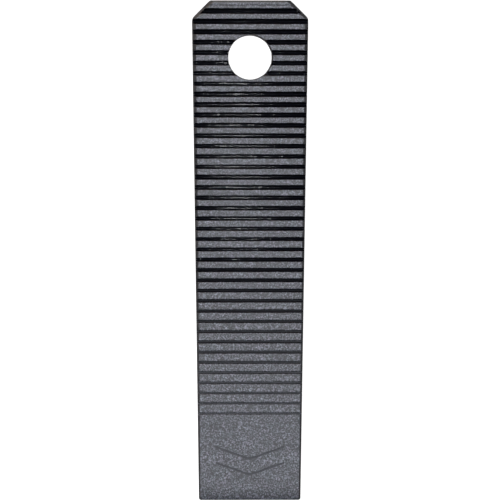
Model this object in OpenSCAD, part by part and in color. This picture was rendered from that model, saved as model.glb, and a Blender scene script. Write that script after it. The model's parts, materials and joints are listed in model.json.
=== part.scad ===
// Felling wedge: one solid moulding in tough plastic, ribbed on both faces.
// It lies on its lower face, with the striking face towards +Y and the tip towards -Y.
// +Z is up and the origin is under the middle of its outline.

/* [Wedge] */
// Length from the striking face to the tip
wedge_len = 250; // [240:1:300]
// Thickness at the striking face
head_t = 28; // [26:0.5:34]
// Thickness that the two faces would have at the tip
tip_t = 4; // [3.5:0.5:6]
// Width at the striking face, if its corners were not cut
head_w = 58.3; // [54:0.1:70]
// Width at the tip
tip_w = 50.9; // [44:0.1:60]
// Leg of the 45 degree cut on each corner of the head
corner_cut = 8.7; // [6:0.1:12]

/* [Edges] */
// Radius along the upper and lower edges of the striking face
head_edge_r = 1.2; // [0.5:0.1:1.5]
// Width of the bevel along the long edges of both faces
side_bevel = 1.2; // [0.4:0.1:1.4]
// Draft of the side walls, in degrees from the draw direction
side_draft = 1.5; // [0.5:0.5:3]
// Radius where a corner cut meets the side
shoulder_r = 3.5; // [0.5:0.5:4]
// Radius of the two corners of the tip, seen from above
tip_corner_r = 1.2; // [0.5:0.1:3]
// Length over which the tip is rounded off to its edge
nose_len = 8; // [4:0.5:10]

/* [Grooves] */
// Centre of the first groove, from the striking face
first_groove = 5.3; // [4.8:0.1:6]
// Centre of the last groove, from the striking face
last_groove = 206.1; // [200:0.1:215]
// Number of level steps in the groove floors
steps = 5; // [4:1:5]
// Grooves on each step
grooves_per_step = 8; // [6:1:8]
// Depth of the first groove on the step next to the head
head_step_depth = 6.5; // [5:0.1:7]
// Depth of the first groove on the step next to the tip
tip_step_depth = 3.2; // [2.8:0.1:4]
// Width of the groove floors
floor_w = 0.5; // [0.3:0.1:0.8]
// Draft of the groove walls, in degrees
groove_draft = 10; // [7:0.5:12]
// Rim left at each end of the first groove, which the corner cuts would open
pocket_rim = 0.9; // [0.8:0.1:3]
// Distance of the fine score line from the striking face
score_at = 2.4; // [2:0.1:2.8]
// Depth of the score line, which is a V as deep as half its width
score_depth = 0.25; // [0.1:0.05:0.4]

/* [Hanging hole] */
// Radius of the hole
hole_r = 11; // [8:0.5:14]
// Centre of the hole, from the striking face
hole_at = 28.2; // [24:0.1:34]

/* [Direction mark] */
// Width of each of the two chevrons that point to the tip
mark_w = 34; // [20:1:40]
// Length of each chevron from its ends to its point
mark_len = 6; // [4:1:10]
// Width of the engraved line
mark_line = 0.9; // [0.5:0.1:1.5]
// Depth of the engraving
mark_depth = 0.35; // [0.2:0.05:0.5]
// Point of the outer chevron, from the tip
mark_from_tip = 13; // [10:1:16]
// Distance between the two chevrons
mark_gap = 8; // [6:1:10]

/* [Hidden] */

groove_count = steps * grooves_per_step;
groove_pitch = (last_groove - first_groove) / (groove_count - 1);
face_slope = (head_t - tip_t) / 2 / wedge_len;
face_angle = atan(face_slope);
side_slope = (head_w - tip_w) / 2 / wedge_len;
side_angle = atan(side_slope);
nose_points = 12;
corner_points = 8;
shoulder_points = 4;
past = 5;
cutter = 40;
// With the wedge on its lower face, the tip's edge reaches furthest to -Y and the top
// of the striking face, just under its rounded edge, furthest to +Y
lowest_y = -(wedge_len * cos(face_angle));
highest_y = (head_t / 2 - head_edge_r) * sin(face_angle);

// Half the thickness between the two faces, at a distance from the striking face
function half_t(s) = head_t / 2 - s * face_slope;

// Half the width between the sides, at a distance from the striking face
function half_w(s) = head_w / 2 - s * side_slope;

// Points on an arc, from one angle to another
function arc(cx, cy, r, from, to, n) =
    [for (i = [0:n]) let (a = from + (to - from) * i / n) [cx + r * cos(a), cy + r * sin(a)]];

// Where groove number i lies
function groove_at(i) = first_groove + i * groove_pitch;

// Depth of the first groove on a step. It falls away faster towards the tip.
function step_depth(step) =
    head_step_depth - (head_step_depth - tip_step_depth) * pow(step / (steps - 1), 2);

// Height of a groove's floor above the middle plane, which is the same along a step
function floor_z(i) =
    let (step = floor(i / grooves_per_step))
    half_t(groove_at(step * grooves_per_step)) - step_depth(step);

// A groove's four corners. Its walls slope outwards from the floor to the sloping face.
function groove_points(i) =
    let (
        y = -groove_at(i),
        z = floor_z(i),
        lean = tan(groove_draft),
        head_rise = (half_t(-y - floor_w / 2) - z) / (1 - face_slope * lean),
        tip_rise = (half_t(-y + floor_w / 2) - z) / (1 + face_slope * lean)
    )
    [
        [y + floor_w / 2 + head_rise * lean, z + head_rise],
        [y + floor_w / 2, z],
        [y - floor_w / 2, z],
        [y - floor_w / 2 - tip_rise * lean, z + tip_rise]
    ];

// The score line's three corners
function score_points() = [
    [-score_at + score_depth, half_t(score_at - score_depth)],
    [-score_at, half_t(score_at) - score_depth],
    [-score_at - score_depth, half_t(score_at + score_depth)]
];

// Half of the rounded nose: the face, brought down to the middle plane as an ellipse
function nose_half() = [
    for (i = [0:nose_points - 1])
        let (u = sin(90 * i / nose_points), s = wedge_len - nose_len * (1 - u))
        [-s, half_t(s) * cos(90 * i / nose_points)]
];

// The upper outline of the side view, from the striking face to the tip.
// The first groove is a closed pocket, so it isn't part of this outline.
function upper_half() = concat(
    arc(
        -head_edge_r, half_t(head_edge_r) - head_edge_r / cos(face_angle),
        head_edge_r, 0, 90 + face_angle, corner_points
    ),
    score_points(),
    [for (i = [1:groove_count - 1], p = groove_points(i)) p],
    nose_half()
);

function mirrored(points) = [for (i = [len(points) - 1:-1:0]) [points[i][0], -points[i][1]]];

// Side view: Y along the wedge, Z its thickness about the middle plane
module side_view() {
    polygon(concat(upper_half(), [[-wedge_len, 0]], mirrored(upper_half())));
}

// Right half of the outline seen from above. cut is the leg of the head's corner cut.
function plan_half(cut) =
    let (
        turn = 45 - side_angle,
        reach = shoulder_r * tan(turn / 2),
        shoulder = [half_w(cut), -cut],
        centre = [
            shoulder[0] - reach * sin(side_angle) - shoulder_r * cos(side_angle),
            shoulder[1] - reach * cos(side_angle) + shoulder_r * sin(side_angle)
        ],
        tip_x = half_w(wedge_len - tip_corner_r) - tip_corner_r / cos(side_angle)
    )
    concat(
        [[half_w(cut) - cut, 0]],
        arc(centre[0], centre[1], shoulder_r, 45, -side_angle, shoulder_points),
        arc(tip_x, -wedge_len + tip_corner_r, tip_corner_r, -side_angle, -90, corner_points)
    );

module plan_view(cut) {
    half = plan_half(cut);
    polygon(concat(half, [for (i = [len(half) - 1:-1:0]) [-half[i][0], half[i][1]]]));
}

// A side view drawn in 2D (Y, Z), carried across the whole width
module across() {
    rotate([90, 0, 90])
        linear_extrude(height = 2 * head_w, center = true)
            children();
}

// The outline seen from above, carried through the whole thickness
module through(cut) {
    linear_extrude(height = 2 * head_t, center = true)
        plan_view(cut);
}

// Puts its children on a face: z = 0 is the face, y = 0 its edge at the striking face
module on_face() {
    translate([0, 0, head_t / 2])
        rotate([face_angle, 0, 0])
            children();
}

// Repeats its children on the upper and the lower half
module both_halves() {
    children();
    mirror([0, 0, 1])
        children();
}

module both_sides() {
    children();
    mirror([1, 0, 0])
        children();
}

// Takes the draft off a side wall, from the middle plane up
module draft_cut() {
    translate([half_w(0), 0, 0])
        rotate([0, 0, -side_angle])
            rotate([0, -side_draft, 0])
                translate([0, -wedge_len - cutter, 0])
                    cube([cutter, wedge_len + 2 * cutter, cutter]);
}

// Takes the bevel off a long edge of a face
module bevel_cut() {
    on_face()
        translate([half_w(0) - side_bevel, 0, 0])
            rotate([0, 0, -side_angle])
                rotate([0, 45, 0])
                    translate([-cutter / 2, -wedge_len - cutter, 0])
                        cube([cutter, wedge_len + 2 * cutter, cutter]);
}

// The first groove: a pocket with a rim left at the corner cuts
module first_pocket() {
    intersection() {
        across()
            polygon(concat(groove_points(0), [[-groove_at(0) - past, head_t], [-groove_at(0) + past, head_t]]));
        through(corner_cut + pocket_rim * sqrt(2));
    }
}

// One engraved chevron on a face, with its point at a distance from the tip
module chevron(from_tip) {
    arm = [mark_w / 2, mark_len];
    arm_len = norm(arm);
    on_face()
        translate([0, -wedge_len / cos(face_angle) + from_tip, -mark_depth])
            linear_extrude(height = past)
                both_sides()
                    polygon([
                        [0, 0],
                        arm,
                        arm + [0, mark_line * arm_len / arm[0]],
                        [0, mark_line * arm_len / arm[0]]
                    ]);
}

module direction_mark() {
    chevron(mark_from_tip);
    chevron(mark_from_tip + mark_gap);
}

module hanging_hole() {
    translate([0, -hole_at, -head_t])
        cylinder(r = hole_r, h = 2 * head_t, $fn = 96);
}

// The wedge about its middle plane, with the striking face at y = 0
module wedge_blank() {
    difference() {
        intersection() {
            across()
                side_view();
            through(corner_cut);
        }
        both_halves() {
            both_sides() {
                draft_cut();
                bevel_cut();
            }
            first_pocket();
            direction_mark();
        }
        hanging_hole();
    }
}

module wedge_body() {
    color([0.10, 0.10, 0.11])
        translate([0, -(lowest_y + highest_y) / 2, head_t / 2 * cos(face_angle)])
            rotate([face_angle, 0, 0])
                wedge_blank();
}

wedge_body();
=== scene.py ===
import json
from math import acos, atan, cos, hypot, pi, radians, sin, sqrt, tan

import bpy
from mathutils import Matrix, Vector


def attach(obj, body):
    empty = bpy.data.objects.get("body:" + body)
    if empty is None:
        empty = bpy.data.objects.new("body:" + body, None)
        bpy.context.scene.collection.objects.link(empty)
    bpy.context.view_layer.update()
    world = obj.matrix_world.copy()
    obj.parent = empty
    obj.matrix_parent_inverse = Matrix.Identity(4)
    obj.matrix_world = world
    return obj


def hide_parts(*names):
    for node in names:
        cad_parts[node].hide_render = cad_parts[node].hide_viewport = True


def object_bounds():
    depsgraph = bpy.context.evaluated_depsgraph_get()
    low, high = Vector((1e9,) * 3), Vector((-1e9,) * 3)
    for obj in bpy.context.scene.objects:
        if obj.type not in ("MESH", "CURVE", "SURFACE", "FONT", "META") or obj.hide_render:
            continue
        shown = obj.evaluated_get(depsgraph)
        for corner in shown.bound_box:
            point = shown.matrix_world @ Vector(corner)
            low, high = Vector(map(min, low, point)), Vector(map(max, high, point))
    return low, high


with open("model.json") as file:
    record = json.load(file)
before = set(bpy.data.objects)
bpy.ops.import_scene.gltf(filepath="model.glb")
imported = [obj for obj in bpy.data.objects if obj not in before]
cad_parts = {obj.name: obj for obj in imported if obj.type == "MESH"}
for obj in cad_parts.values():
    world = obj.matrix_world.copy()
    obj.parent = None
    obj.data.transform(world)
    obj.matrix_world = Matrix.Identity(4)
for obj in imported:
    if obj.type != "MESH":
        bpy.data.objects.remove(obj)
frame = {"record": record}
cad_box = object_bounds()

MM = 0.001


# ---------------------------------------------------------------- sizes from the frame

def mount(name):
    """Position, axis and record entry of one of the part's mounts."""
    entry = next(m for m in frame["record"]["mounts"] if m["name"] == name)
    return Vector(entry["pos_m"]), Vector(entry["axis"]), entry


head_pos, head_axis, _ = mount("striking_face")
hole_pos, hole_axis, hole_entry = mount("hanging_hole")

# The wedge's own frame: x across, y towards the head with 0 at the striking face, and z up from
# its middle plane
across_axis = Vector((1, 0, 0))
PLACE = Matrix((across_axis, head_axis, hole_axis)).transposed().to_4x4()
PLACE.translation = head_pos

face_angle = acos(head_axis.y)
face_slope = tan(face_angle)
wedge_len = (head_pos.y - cad_box[0].y) / head_axis.y
head_half = head_pos.z / head_axis.y
hole_r = hole_entry["dims"]["r_mm"] * MM
hole_at = (head_pos - hole_pos).dot(head_axis)

# ---------------------------------------------------------------- driving dimensions

head_w = 58.3 * MM
tip_w = 50.9 * MM
corner_cut = 8.7 * MM
shoulder_r = 3.5 * MM
tip_corner_r = 1.2 * MM
side_draft = radians(1.5)
head_edge_r = 1.2 * MM
bevel_head = 1.6 * MM
bevel_tip = 0.8 * MM
bevel_round = 0.4  # radius between the bevel and its neighbours, as a share of its width
rim_step = 0.04  # width of the slope outside the pocket's ends, as a share of the bevel's width
nose_len = 8 * MM

first_groove = 5.3 * MM
last_groove = 206.1 * MM
steps = 5
grooves_per_step = 8
head_step_depth = 6.5 * MM
tip_step_depth = 3.2 * MM
floor_w = 0.5 * MM
groove_draft = radians(10)
pocket_rim = 0.9 * MM
lip_r = 0.35 * MM
floor_r = 0.1 * MM
end_draft = radians(4)
runout_r = 0.15 * MM
runout_full = 0.13  # depth at which a groove's ends are fully rounded, as a share of lip_r

score_at = 2.4 * MM
score_depth = 0.25 * MM
score_half_w = 0.35 * MM

mark_w = 34 * MM
mark_len = 6 * MM
mark_line = 0.9 * MM
mark_depth = 0.35 * MM
mark_from_tip = 13 * MM
mark_gap = 8 * MM

groove_count = steps * grooves_per_step
groove_pitch = (last_groove - first_groove) / (groove_count - 1)
side_slope = (head_w - tip_w) / 2 / wedge_len
side_angle = atan(side_slope)


def half_t(s):
    """Half the thickness between the two faces, at a distance s from the striking face."""
    return head_half - s * face_slope


def half_w(s):
    """Half the width between the sides, with no corner cut."""
    return head_w / 2 - s * side_slope


def bevel(s):
    """Width of the bevel along the long edges of the faces, which shrinks towards the tip."""
    return bevel_head + (bevel_tip - bevel_head) * s / wedge_len


def face_z(s, lowered):
    """Height of a face, or of the bevel beside it, which lies lower by a share of the bevel's width."""
    return half_t(s) - lowered * bevel(s)


def groove_at(i):
    """Distance of a groove's centre from the striking face."""
    return first_groove + i * groove_pitch


def floor_z(i):
    """Height of a groove's floor: the same along a step of grooves."""
    step = i // grooves_per_step
    fall = (head_step_depth - tip_step_depth) * (step / (steps - 1)) ** 2
    return half_t(groove_at(step * grooves_per_step)) - head_step_depth + fall


# Segments of a groove's rounded lips and of each corner of its floor
LIP_SEGMENTS = 4
FLOOR_SEGMENTS = 3

# Rows on the ridge that the corner cuts run across, on every other ridge, and on the smooth land
ROWS_BEHIND_FIRST = 5
ROWS_ON_RIDGE = 1
ROWS_ON_LAND = 6


# ---------------------------------------------------------------- side view

def wall_top(i, side, lowered):
    """Where a groove wall meets the face. side is -1 for the wall towards the head and 1 for the other."""
    start = groove_at(i) + side * floor_w / 2
    lean = tan(groove_draft)
    drop_slope = face_slope + lowered * (bevel_tip - bevel_head) / wedge_len
    rise = (face_z(start, lowered) - floor_z(i)) / (1 + side * drop_slope * lean)
    return start + side * rise * lean, floor_z(i) + rise


def rounded(points, radius, segments):
    """The middle points of a polyline, each turned into an arc of that radius and number of segments."""
    out = []
    for before, corner, after in zip(points, points[1:], points[2:]):
        corner, before, after = Vector(corner), Vector(before), Vector(after)
        to_before = (before - corner).normalized()
        to_after = (after - corner).normalized()
        half = acos(max(-1, min(1, to_before.dot(to_after)))) / 2
        middle = (to_before + to_after).normalized()
        centre = corner + middle * (radius / sin(half))
        start = corner + to_before * (radius / tan(half)) - centre
        sweep = pi - 2 * half
        way = 1 if start.x * to_after.y - start.y * to_after.x > 0 else -1
        for k in range(segments + 1):
            a = way * sweep * k / segments
            turned = Vector((start.x * cos(a) - start.y * sin(a), start.x * sin(a) + start.y * cos(a)))
            out.append(tuple(centre + turned))
    return out


def head_edge(lowered):
    """The striking face from the middle plane up, and the arc over its edge."""
    centre = face_z(head_edge_r, lowered) - head_edge_r / cos(face_angle)
    count = 8
    points = [(0.0, 0.0)]
    for k in range(count + 1):
        a = (pi / 2 + face_angle) * k / count
        points.append((head_edge_r * (1 - cos(a)), centre + head_edge_r * sin(a)))
    return points


def score_line(lowered):
    """The fine score line next to the striking face, as a smooth dip."""
    count = 8
    points = []
    for k in range(count + 1):
        t = 2 * k / count - 1
        s = score_at + t * score_half_w
        points.append((s, face_z(s, lowered) - score_depth * (1 + cos(pi * t)) / 2))
    return points


def groove(i, lowered):
    """One groove, with rounded lips and a rounded floor."""
    head_top = wall_top(i, -1, lowered)
    tip_top = wall_top(i, 1, lowered)
    before = (head_top[0] - groove_pitch / 4, face_z(head_top[0] - groove_pitch / 4, lowered))
    after = (tip_top[0] + groove_pitch / 4, face_z(tip_top[0] + groove_pitch / 4, lowered))
    foot = [(groove_at(i) + side * floor_w / 2, floor_z(i)) for side in (-1, 1)]
    head_lip = rounded([before, head_top, foot[0]], lip_r, LIP_SEGMENTS)
    floor = rounded([head_top, *foot, tip_top], floor_r, FLOOR_SEGMENTS)
    return head_lip + floor + rounded([foot[1], tip_top, after], lip_r, LIP_SEGMENTS)


def between(a, b, lowered, count):
    """Points on the face between two distances from the head."""
    stations = [a + (b - a) * k / (count + 1) for k in range(1, count + 1)]
    return [(s, face_z(s, lowered)) for s in stations]


def nose(lowered):
    """The face brought down to the middle plane as an ellipse, ending at the tip."""
    count = 16
    points = []
    for k in range(count + 1):
        a = pi / 2 * k / count
        s = wedge_len - nose_len * (1 - sin(a))
        points.append((s, face_z(s, lowered) * cos(a)))
    return points


def profile(lowered):
    """Upper half of the side view as (s, z) points from the striking face to the tip."""
    points = head_edge(lowered) + score_line(lowered)
    for i in range(groove_count):
        cut = groove(i, lowered)
        ridge_rows = ROWS_BEHIND_FIRST if i == 1 else ROWS_ON_RIDGE
        points += between(points[-1][0], cut[0][0], lowered, ridge_rows)
        points += cut
    ending = nose(lowered)
    return points + between(points[-1][0], ending[0][0], lowered, ROWS_ON_LAND) + ending


# Rows of the profile on the striking face and all but the last segment of the arc over its edge
HEAD_ROWS = len(head_edge(0)) - 2

# Rows of the profile that belong to the first groove, which is a closed pocket
POCKET_START = len(head_edge(0)) + len(score_line(0)) + ROWS_ON_RIDGE
GROOVE_ROWS = len(groove(0, 0))
POCKET_ROWS = range(POCKET_START, POCKET_START + GROOVE_ROWS)


def groove_rows():
    """Rows whose faces, up to the next row, are the walls and the floor of a groove."""
    rows = set()
    start = POCKET_START
    for i in range(groove_count):
        rows |= set(range(start + LIP_SEGMENTS, start + GROOVE_ROWS - LIP_SEGMENTS - 1))
        start += GROOVE_ROWS + (ROWS_BEHIND_FIRST if i == 0 else ROWS_ON_RIDGE)
    return rows


# ---------------------------------------------------------------- plan view

def plan_edge(s):
    """Half the width at a distance from the head, and how steeply the edge runs there (dx/ds)."""
    turn = pi / 4 - side_angle
    reach = shoulder_r * tan(turn / 2)
    arc_start = corner_cut - reach * sin(pi / 4)
    arc_end = corner_cut + reach * cos(side_angle)
    if s <= arc_start:
        return half_w(corner_cut) - corner_cut + s, 1.0
    if s < arc_end:
        centre_s = arc_end + shoulder_r * sin(side_angle)
        centre_x = half_w(arc_end) - shoulder_r * cos(side_angle)
        along = centre_s - s
        out = sqrt(max(0.0, shoulder_r ** 2 - along ** 2))
        return centre_x + out, along / out
    past = s - (wedge_len - tip_corner_r)
    if past > 0:
        return half_w(s) - tip_corner_r + sqrt(max(0.0, tip_corner_r ** 2 - past ** 2)), 0.0
    return half_w(s), 0.0


# Section of a long edge, from the flat of the face to the side wall, in shares of the bevel's width:
# how far each column lies in from the wall, and how far it lies below the face. The first groove
# ends at column POCKET_END, and the column after it, rim_step further out, is whole again.
BEVEL_SEGMENTS = 4
ROUNDED_BEVEL = rounded([(2, 0), (1, 0), (0, 1), (0, 2)], bevel_round, BEVEL_SEGMENTS)
POCKET_END = BEVEL_SEGMENTS + 1
end_inset = pocket_rim / bevel(first_groove)
rim_inset = end_inset - rim_step
SECTION = [
    *ROUNDED_BEVEL[:POCKET_END],
    (end_inset, 1 - end_inset),
    (rim_inset, 1 - rim_inset),
    *ROUNDED_BEVEL[POCKET_END:],
]

# Columns across the flat of a face, in shares of the distance from its middle to its edge
INNER_SHARES = [k / 5 for k in range(-4, 5)]


def pocket_filled(points, lowered):
    """The profile with the first groove filled up to the face."""
    first, last = POCKET_ROWS[0], POCKET_ROWS[-1]
    a, b = points[first][0], points[last][0]
    filled = list(points)
    for row in POCKET_ROWS:
        s = a + (b - a) * (row - first) / (last - first)
        filled[row] = (s, face_z(s, lowered))
    return filled


def outward(points):
    """Unit normals along a profile, pointing out of the plastic."""
    normals = []
    for k in range(len(points)):
        a = points[max(k - 1, 0)]
        b = points[min(k + 1, len(points) - 1)]
        length = hypot(b[0] - a[0], b[1] - a[1])
        normals.append((-(b[1] - a[1]) / length, (b[0] - a[0]) / length))
    normals[0] = (-1.0, 0.0)
    normals[-1] = (1.0, 0.0)
    return normals


def edge_column(k):
    """The points (x, s, z) of column k of SECTION, along the right long edge."""
    inset, lowered = SECTION[k]
    points = profile(lowered)
    if k > POCKET_END:
        points = pocket_filled(points, lowered)
    column = []
    for row, ((s, z), n) in enumerate(zip(points, outward(points))):
        half, steep = plan_edge(s)
        stretch = sqrt(1 + steep ** 2)
        from_wall = inset * bevel(s)
        depth = max(0.0, face_z(s, lowered) - z)
        share = min(1.0, depth / (runout_full * lip_r))
        # Where a groove or another hollow runs out through the side wall, its rim is rounded
        dip = 0.0
        if from_wall < runout_r:
            dip = runout_r - sqrt(runout_r ** 2 - (runout_r - from_wall) ** 2)
        s, z = s - n[0] * dip * share, z - n[1] * dip * share
        if row in POCKET_ROWS and k <= POCKET_END:
            from_wall += depth * tan(end_draft)
        z = max(z, 0.0)
        column.append((half - (z * tan(side_draft) + from_wall) * stretch, s, z))
    column[0] = (column[0][0], column[0][1], 0.0)
    column[-1] = (column[-1][0], column[-1][1], 0.0)
    return column


def upper_columns():
    """All columns of the upper half, from the left side wall to the right one."""
    right = [edge_column(k) for k in range(len(SECTION))]
    flat = profile(0.0)
    inner = [
        [(share * right[0][row][0], s, z) for row, (s, z) in enumerate(flat)]
        for share in INNER_SHARES
    ]
    left = [[(-x, s, z) for x, s, z in column] for column in reversed(right)]
    return left + inner + right


# ---------------------------------------------------------------- meshes

# Material slots of the moulding, and the first column of a long edge with the sides' finish
FACE, GROOVE, SIDE = 0, 1, 2
SIDE_FROM = 2


def new_object(name, points, faces, finishes):
    """A mesh object. finishes has the material slot of each face."""
    mesh = bpy.data.meshes.new(name)
    mesh.from_pydata(points, [], faces)
    mesh.polygons.foreach_set("material_index", finishes)
    mesh.validate()
    obj = bpy.data.objects.new(name, mesh)
    bpy.context.scene.collection.objects.link(obj)
    return obj


def body_mesh():
    """The wedge with no hole or mark: an upper and a lower sheet of faces, joined all round."""
    columns = upper_columns()
    rows = len(columns[0])
    count = len(columns)
    points = []
    index = {}

    def add(key, x, s, z):
        """The index of a point, which is made once for each key."""
        if key not in index:
            index[key] = len(points)
            points.append((x, -s, z))
        return index[key]

    def vertex(half, row, col):
        """A vertex of the upper (1) or lower (-1) sheet. The two share the first and the last row."""
        x, s, z = columns[col][row]
        if row in (0, rows - 1):
            return add(("both", row, col), x, s, 0.0)
        return add((half, row, col), x, s, half * z)

    def parting(side, row):
        """A vertex on the line where the two mould halves meet."""
        col = 0 if side < 0 else count - 1
        if row <= 1:
            return vertex(1, 0, col)
        if row == rows - 1:
            return vertex(1, row, col)
        s = columns[col][row][1]
        return add(("parting", side, row), side * plan_edge(s)[0], s, 0.0)

    def ordered(half, *corners):
        """A face's corners, in the order that turns its normal outwards."""
        return corners if half > 0 else corners[::-1]

    def finish(row, col):
        """The material slot between a row and the next, and a column and the next."""
        k = len(SECTION) - 1 - min(col + 1, count - 1 - col)
        if row in in_grooves and (k <= POCKET_END or row not in POCKET_ROWS):
            return GROOVE
        return SIDE if k >= SIDE_FROM or row < HEAD_ROWS else FACE

    in_grooves = groove_rows()
    faces = []
    finishes = []
    for half in (1, -1):
        for col in range(count - 1):
            for row in range(rows - 1):
                faces.append(ordered(
                    half,
                    vertex(half, row, col), vertex(half, row + 1, col),
                    vertex(half, row + 1, col + 1), vertex(half, row, col + 1),
                ))
                finishes.append(finish(row, col))
        for side, col in ((-1, 0), (1, count - 1)):
            for row in range(1, rows - 1):
                corners = [
                    parting(side, row), parting(side, row + 1),
                    vertex(half, row + 1, col), vertex(half, row, col),
                ]
                unique = list(dict.fromkeys(corners))
                faces.append(ordered(half * -side, *unique))
                finishes.append(SIDE)
    return new_object("wedge_moulding", points, faces, finishes)


def stack(name, loops, caps, finish):
    """A closed solid from loops of points, one above another, in one material slot.

    caps are the faces that close one end, as indices into a loop.
    """
    size = len(loops[0])
    points = [p for loop in loops for p in loop]
    faces = [tuple(reversed(face)) for face in caps]
    for level in range(len(loops) - 1):
        low = level * size
        for k in range(size):
            after = (k + 1) % size
            faces.append((low + k, low + after, low + size + after, low + size + k))
    top = (len(loops) - 1) * size
    faces += [tuple(top + v for v in face) for face in caps]
    return new_object(name, points, faces, [finish] * len(faces))


def hole_cutter():
    """The hanging hole's plug. It flares over a small radius where it meets the sloping faces."""
    around = 128
    rim = 0.5 * MM
    rim_steps = 6
    above = 0.02 * MM  # keeps the end of the flare off the face itself
    clear = 6 * MM
    half = half_t(hole_at)
    levels = [(hole_r + rim, half + clear)]
    for k in range(rim_steps + 1):
        a = pi / 2 * k / rim_steps
        levels.append((hole_r + rim * (1 - sin(a)), half + above - rim * (1 - cos(a))))
    levels += [(r, -z) for r, z in reversed(levels)]
    loops = []
    for r, z in reversed(levels):
        lean = face_slope if z > 0 else -face_slope
        loop = []
        for k in range(around):
            a = 2 * pi * (k + 0.5) / around
            loop.append((r * cos(a), -hole_at + r * sin(a), z + lean * r * sin(a)))
        loops.append(loop)
    return stack("hole_cutter", loops, [tuple(range(around))], SIDE)


def chevron_cutter(from_tip, half):
    """An engraved chevron with tapered walls, its point towards the tip, on the upper or the lower face."""
    rise = mark_len / (mark_w / 2)
    lean = hypot(1, rise)
    # Heights about the face, and what each adds to half the line's width, in line widths
    levels = [(-mark_depth, -0.15), (-0.2 * mark_depth, 0.0), (0.2 * mark_depth, 0.15)]
    loops = []
    for height, grow in levels:
        reach = mark_w / 2 + grow * mark_line
        v = (0.5 + grow) * mark_line * lean
        outline = [
            (-reach, reach * rise - v), (0, -v), (reach, reach * rise - v),
            (reach, reach * rise + v), (0, v), (-reach, reach * rise + v),
        ]
        loop = []
        for x, y in outline:
            s = wedge_len - from_tip - y
            loop.append((x, -s, half * (half_t(s) + height)))
        loops.append(loop)
    if half < 0:
        loops.reverse()
    return stack("chevron_cutter", loops, [(0, 1, 4, 5), (1, 2, 3, 4)], GROOVE)


def carve(obj, cutters):
    """Takes the cutters out of an object and removes them."""
    for cutter in cutters:
        cut = obj.modifiers.new("cut", "BOOLEAN")
        cut.operation = "DIFFERENCE"
        cut.solver = "EXACT"
        cut.object = cutter
    bpy.context.view_layer.update()
    graph = bpy.context.evaluated_depsgraph_get()
    carved = bpy.data.meshes.new_from_object(obj.evaluated_get(graph))
    obj.modifiers.clear()
    obj.data = carved
    for cutter in cutters:
        bpy.data.objects.remove(cutter)


def soften(obj):
    """Smooth shading that keeps real edges sharp and flats flat."""
    sharp_from = radians(38)
    obj.data.shade_smooth()
    obj.data.set_sharp_from_angle(angle=sharp_from)
    weighted = obj.modifiers.new("flats", "WEIGHTED_NORMAL")
    weighted.mode = "FACE_AREA_WITH_ANGLE"
    weighted.weight = 80
    weighted.keep_sharp = True


# ---------------------------------------------------------------- materials

class Nodes:
    """Short calls that add shader nodes to one material and link them."""

    def __init__(self, material):
        material.use_nodes = True
        self.tree = material.node_tree
        self.shader = self.tree.nodes["Principled BSDF"]

    def put(self, value, socket):
        """Links another node's output to a socket, or sets the socket to a plain value."""
        if isinstance(value, bpy.types.NodeSocket):
            self.tree.links.new(value, socket)
        else:
            socket.default_value = value

    def place(self):
        """Position on the object, in the frame of the CAD part."""
        return self.tree.nodes.new("ShaderNodeTexCoord").outputs["Object"]

    def maths(self, operation, *values):
        """The result of a Math node."""
        made = self.tree.nodes.new("ShaderNodeMath")
        made.operation = operation
        for value, socket in zip(values, made.inputs):
            self.put(value, socket)
        return made.outputs["Value"]

    def vector(self, operation, *values):
        """The result of a Vector Math node."""
        made = self.tree.nodes.new("ShaderNodeVectorMath")
        made.operation = operation
        for value, socket in zip(values, made.inputs):
            self.put(value, socket)
        return made.outputs["Value" if operation == "DOT_PRODUCT" else "Vector"]

    def ease(self, value, low, high, at_low=0.0, at_high=1.0):
        """at_low below low, at_high above high, and a smooth step between them."""
        made = self.tree.nodes.new("ShaderNodeMapRange")
        made.interpolation_type = "SMOOTHSTEP"
        names = ("Value", "From Min", "From Max", "To Min", "To Max")
        for name, setting in zip(names, (value, low, high, at_low, at_high)):
            self.put(setting, made.inputs[name])
        return made.outputs["Result"]

    def noise(self, place, size, detail=2.0, roughness=0.5, stretch=(1, 1, 1)):
        """Noise whose blotches are about size across, times stretch along each axis."""
        made = self.tree.nodes.new("ShaderNodeTexNoise")
        scaled = self.vector("MULTIPLY", place, tuple(1 / (size * k) for k in stretch))
        self.put(scaled, made.inputs["Vector"])
        self.put(1.0, made.inputs["Scale"])
        self.put(detail, made.inputs["Detail"])
        self.put(roughness, made.inputs["Roughness"])
        return made.outputs["Fac"]

    def blend(self, share, first, second):
        """A colour between two colours."""
        made = self.tree.nodes.new("ShaderNodeMix")
        made.data_type = "RGBA"
        self.put(share, made.inputs["Factor"])
        self.put(first, [s for s in made.inputs if s.name == "A" and s.type == "RGBA"][0])
        self.put(second, [s for s in made.inputs if s.name == "B" and s.type == "RGBA"][0])
        return [s for s in made.outputs if s.type == "RGBA"][0]

    def bump(self, height, distance, normal=None):
        """A normal that is tilted as if the surface rose by height times distance, in metres."""
        made = self.tree.nodes.new("ShaderNodeBump")
        self.put(height, made.inputs["Height"])
        self.put(distance, made.inputs["Distance"])
        if normal is not None:
            self.put(normal, made.inputs["Normal"])
        return made.outputs["Normal"]


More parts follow.
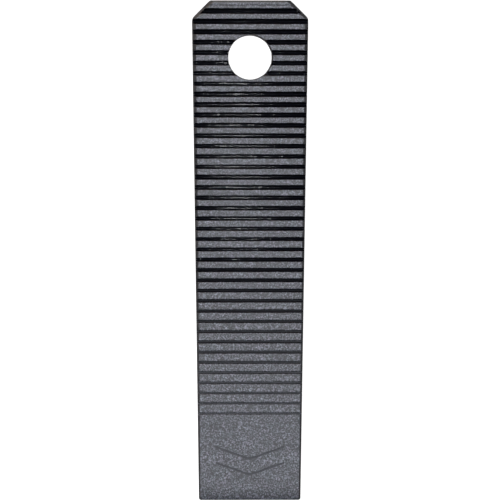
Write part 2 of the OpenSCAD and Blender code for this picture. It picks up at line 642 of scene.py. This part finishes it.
def face_plastic():
    """Black plastic with the fine spark texture of the mould, on the ridges and the tip."""
    material = bpy.data.materials.new("textured_plastic")
    n = Nodes(material)
    place = n.place()
    speck = n.noise(place, 0.8 * MM, 2.0, 0.7)
    grain = n.noise(place, 0.3 * MM, 2.0, 0.6)
    cloud = n.noise(place, 4 * MM, 2.0, 0.5)
    elsewhere = n.vector("ADD", place, (0.5, 0.5, 0.5))
    hue = n.noise(elsewhere, 3 * MM, 1.0, 0.5)
    cool_or_warm = n.ease(hue, 0.35, 0.65)
    dull = n.blend(cool_or_warm, (0.0075, 0.0081, 0.0090, 1), (0.0082, 0.0078, 0.0094, 1))
    light = n.blend(cool_or_warm, (0.150, 0.161, 0.190, 1), (0.164, 0.157, 0.196, 1))
    speckled = n.blend(n.ease(speck, 0.42, 0.78), dull, light)
    clouded = n.blend(n.ease(cloud, 0.35, 0.70, 0.0, 0.32), speckled, (0.017, 0.0175, 0.022, 1))
    n.put(clouded, n.shader.inputs["Base Color"])
    n.put(n.ease(grain, 0.3, 0.7, 0.42, 0.60), n.shader.inputs["Roughness"])
    n.put(n.bump(n.maths("ADD", speck, grain), 0.18 * MM), n.shader.inputs["Normal"])
    n.shader.inputs["IOR"].default_value = 1.5
    return material


def groove_plastic():
    """Smooth black plastic in the grooves and the engraved mark, greyer towards the tip.

    Slight waves break the lamp's reflection up into short glints.
    """
    material = bpy.data.materials.new("groove_plastic")
    n = Nodes(material)
    place = n.place()
    from_head = n.vector("SUBTRACT", place, tuple(head_pos))
    along = n.maths("MULTIPLY", n.vector("DOT_PRODUCT", from_head, tuple(head_axis)), -1.0)
    grey_from = groove_at(23)
    towards_tip = n.ease(along, grey_from, last_groove)
    waves = n.noise(place, 6 * MM, 1.0, 0.5, (1, 0.5, 1))
    ripples = n.noise(place, 2 * MM, 1.0, 0.5, (0.7, 1, 1))
    shade = n.noise(place, 1.2 * MM, 2.0, 0.5)
    black = n.blend(shade, (0.002, 0.002, 0.0032, 1), (0.0045, 0.0045, 0.0062, 1))
    grey = n.blend(shade, (0.036, 0.036, 0.039, 1), (0.058, 0.059, 0.063, 1))
    n.put(n.blend(towards_tip, black, grey), n.shader.inputs["Base Color"])
    n.put(n.ease(waves, 0.3, 0.7, 0.03, 0.05), n.shader.inputs["Roughness"])
    wavy = n.bump(waves, 0.02 * MM)
    n.put(n.bump(ripples, 0.02 * MM, wavy), n.shader.inputs["Normal"])
    n.shader.inputs["Specular IOR Level"].default_value = 0.08
    return material


def side_plastic():
    """Satin black plastic of the striking face, the bevels, the side walls and the hole."""
    material = bpy.data.materials.new("satin_plastic")
    n = Nodes(material)
    place = n.place()
    grain = n.noise(place, 0.4 * MM, 2.0, 0.6)
    cloud = n.noise(place, 5 * MM, 2.0, 0.5)
    shade = n.ease(n.maths("ADD", cloud, grain), 0.7, 1.3)
    n.put(n.blend(shade, (0.011, 0.011, 0.012, 1), (0.024, 0.023, 0.024, 1)), n.shader.inputs["Base Color"])
    n.put(n.ease(cloud, 0.3, 0.7, 0.34, 0.48), n.shader.inputs["Roughness"])
    n.put(n.bump(grain, 0.06 * MM), n.shader.inputs["Normal"])
    n.shader.inputs["IOR"].default_value = 1.5
    return material


# ---------------------------------------------------------------- stage

# Half the side of the square floor, and the distance, top and bottom of the walls round it
FLOOR_REACH = 6.0
WALL_REACH = 5.9
WALL_HEIGHT = 6.0
BELOW_FLOOR = -0.01


def level_square(reach, z):
    """The corners of a level square about the origin."""
    return [(-reach, -reach, z), (reach, -reach, z), (reach, reach, z), (-reach, reach, z)]


def pale_material(name, base):
    """A matt surface that glows evenly. base is the share of light that it sends back as well."""
    material = bpy.data.materials.new(name)
    n = Nodes(material)
    n.shader.inputs["Base Color"].default_value = (base, base, base, 1)
    n.shader.inputs["Roughness"].default_value = 0.9
    n.shader.inputs["Specular IOR Level"].default_value = 0.0
    n.shader.inputs["Emission Color"].default_value = (1, 1, 1, 1)
    n.shader.inputs["Emission Strength"].default_value = 1.0
    return material


def pale_floor():
    """A pale sheet lit from below, as a light table is."""
    sheet = new_object("floor", level_square(FLOOR_REACH, 0), [(0, 1, 2, 3)], [0])
    sheet.data.materials.append(pale_material("pale_floor", 0.15))
    # Steep black sides would mirror the lit sheet as a white outline
    sheet.visible_glossy = False


def backdrop():
    """Pale walls round the floor. Only the camera sees them, so they put no light on the wedge."""
    points = level_square(WALL_REACH, BELOW_FLOOR) + level_square(WALL_REACH, WALL_HEIGHT)
    faces = [(k, (k + 1) % 4, 4 + (k + 1) % 4, 4 + k) for k in range(4)]
    walls = new_object("backdrop", points, faces, [0] * len(faces))
    walls.data.materials.append(pale_material("pale_backdrop", 0.0))
    walls.visible_diffuse = False
    walls.visible_glossy = False
    walls.visible_shadow = False


def soft_light(name, place, target, size, power, colour):
    """A rectangular soft box that faces a point."""
    data = bpy.data.lights.new(name, "AREA")
    data.shape = "RECTANGLE"
    data.size, data.size_y = size
    data.energy = power
    data.color = colour
    lamp = bpy.data.objects.new(name, data)
    lamp.location = place
    lamp.rotation_euler = (Vector(target) - Vector(place)).to_track_quat("-Z", "Y").to_euler()
    bpy.context.scene.collection.objects.link(lamp)


def dim_room():
    """The world's colour: warm near the floor, neutral just above it and darkest overhead."""
    world = bpy.data.worlds.new("studio")
    world.use_nodes = True
    tree = world.node_tree
    direction = tree.nodes.new("ShaderNodeTexCoord").outputs["Generated"]
    split = tree.nodes.new("ShaderNodeSeparateXYZ")
    tree.links.new(direction, split.inputs["Vector"])
    ramp = tree.nodes.new("ShaderNodeValToRGB")
    low, high = ramp.color_ramp.elements
    low.position = 0.0
    low.color = (0.10, 0.08, 0.07, 1)
    high.position = 0.9
    high.color = (0.03, 0.03, 0.035, 1)
    level = ramp.color_ramp.elements.new(0.12)
    level.color = (0.10, 0.10, 0.105, 1)
    tree.links.new(split.outputs["Z"], ramp.inputs["Fac"])
    tree.links.new(ramp.outputs["Color"], tree.nodes["Background"].inputs["Color"])
    bpy.context.scene.world = world


def lights():
    """Two overhead boxes with a gap where the camera is, a warm box beyond the head, and a small lamp."""
    height = 2.0
    along = 0.15
    daylight = (0.91, 0.95, 1.0)
    soft_light("left_box", (-0.6, along, height), (-0.6, along, 0), (0.9, 1.5), 79, daylight)
    soft_light("right_box", (0.5, along, height), (0.5, along, 0), (0.6, 1.5), 25, daylight)
    soft_light("warm_box", (-0.8, 1.6, 0.8), (0, 0, 0), (2.0, 0.6), 22, (1.0, 0.74, 0.56))
    # The lamp stands beside the camera and makes the glints in the grooves
    soft_light("lamp", (0.02, -0.06, 1.75), (0, 0.05, 0), (0.012, 0.04), 1.0, (0.95, 0.97, 1))


def camera():
    """Straight above the wedge, a little to its left, with the image's top towards the head."""
    distance = 1.8
    aim_y = 0.00033
    aim_height = 0.012
    shown = 0.2496  # width of the view at the aim's height
    sideways = radians(-1)
    data = bpy.data.cameras.new("camera")
    data.sensor_width = 36
    data.lens = data.sensor_width * distance / shown
    data.clip_start = 0.05
    data.clip_end = 20
    view = bpy.data.objects.new("camera", data)
    view.location = (distance * sin(sideways), aim_y, aim_height + distance * cos(sideways))
    view.rotation_euler = (0, sideways, 0)
    bpy.context.scene.collection.objects.link(view)
    bpy.context.scene.camera = view


# ---------------------------------------------------------------- the scene

camera()
body = body_mesh()
chevrons = [
    chevron_cutter(from_tip, half)
    for from_tip in (mark_from_tip, mark_from_tip + mark_gap)
    for half in (1, -1)
]
for material in (face_plastic(), groove_plastic(), side_plastic()):
    body.data.materials.append(material)
carve(body, [hole_cutter(), *chevrons])
soften(body)
body.data.transform(PLACE)
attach(body, "root")
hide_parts("wedge_body")

pale_floor()
backdrop()
dim_room()
lights()
bpy.context.scene.view_settings.view_transform = "Standard"
